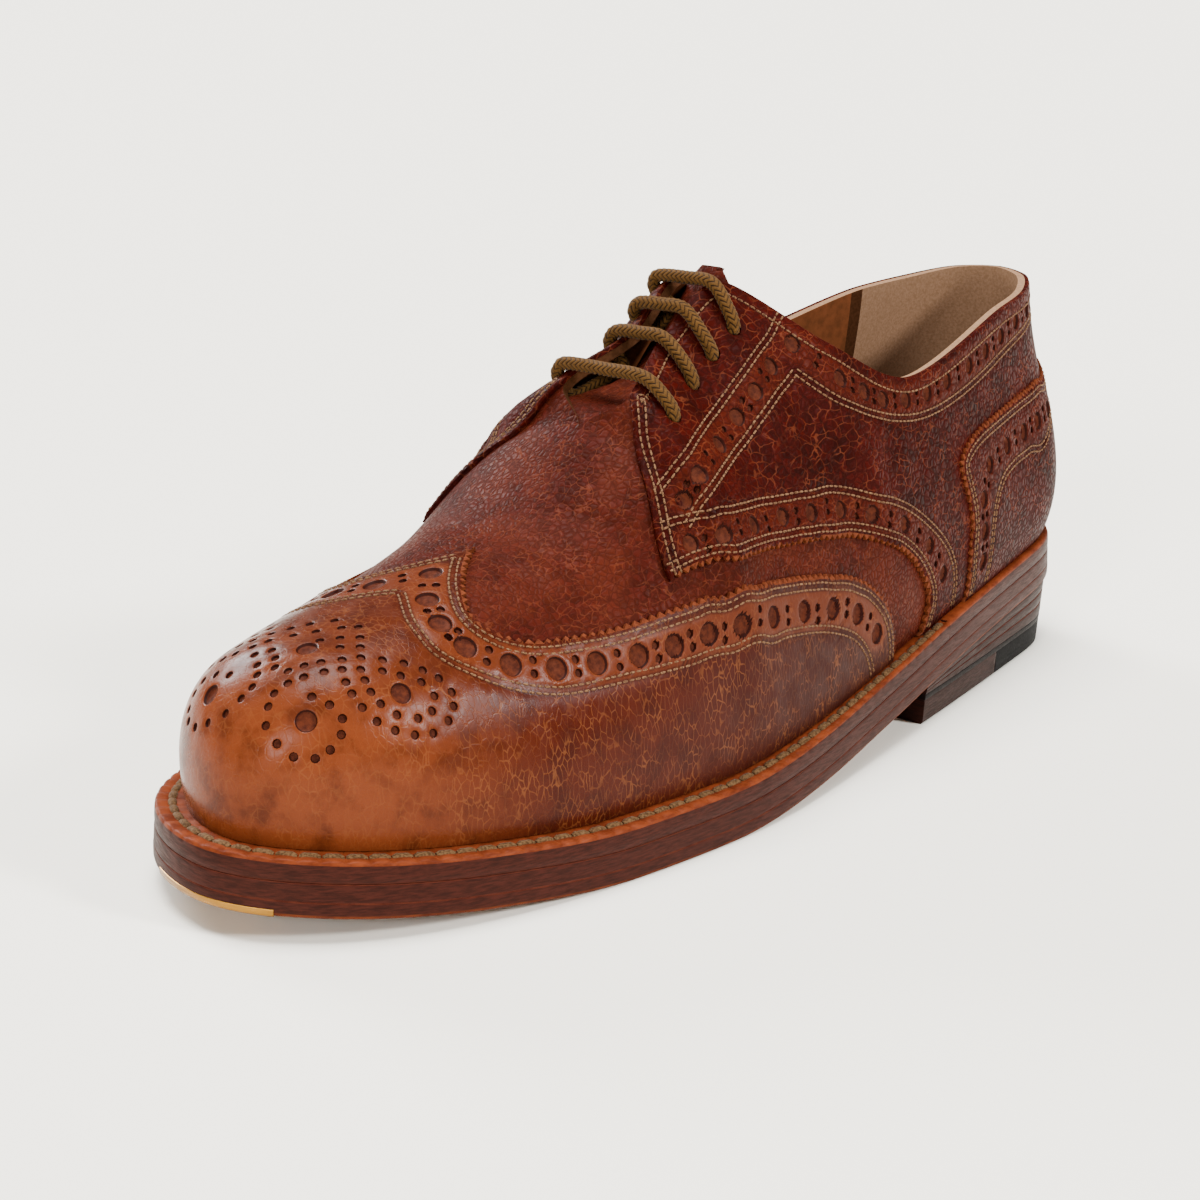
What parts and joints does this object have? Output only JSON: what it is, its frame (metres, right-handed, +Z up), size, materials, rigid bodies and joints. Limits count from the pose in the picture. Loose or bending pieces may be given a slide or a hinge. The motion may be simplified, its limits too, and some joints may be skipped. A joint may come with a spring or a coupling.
{
  "type": "full brogue derby shoe",
  "caption": "Left leather full brogue derby with a wing cap, open lacing, a hollow upper, a welted leather sole and a stacked heel.",
  "frame": {"origin": "middle of the shoe's box, on the floor", "axes": "-X towards the toe, -Y towards the outer side of the foot, +Z up"},
  "size_m": [0.3006, 0.1044, 0.1149],
  "materials": {
    "upper_leather": "burgundy-brown shrunken grain, polished",
    "cap_leather": "cognac-brown, polished",
    "tongue_leather": "burgundy-brown grain",
    "insole_leather": "natural vegetable tan, matt",
    "welt_leather": "waxed brown",
    "sole_leather": "edge dyed dark brown and waxed",
    "heel_rubber": "black, matt",
    "toe_plate_brass": "brushed",
    "lace_cord": "waxed round braid"
  },
  "bodies": {
    "root": {"outsole": "sole_leather", "midsole": "sole_leather", "welt": "welt_leather", "heel_rand": "welt_leather", "insole": "insole_leather", "heel_stack": "sole_leather", "heel_top_piece": "sole_leather", "heel_rubber": "heel_rubber", "toe_plate": "toe_plate_brass", "upper": "upper_leather", "wing_cap": "cap_leather", "heel_counter": "upper_leather", "quarter_outer": "upper_leather", "quarter_inner": "upper_leather", "tongue": "tongue_leather", "lace": "lace_cord"}
  },
  "joints": []
}
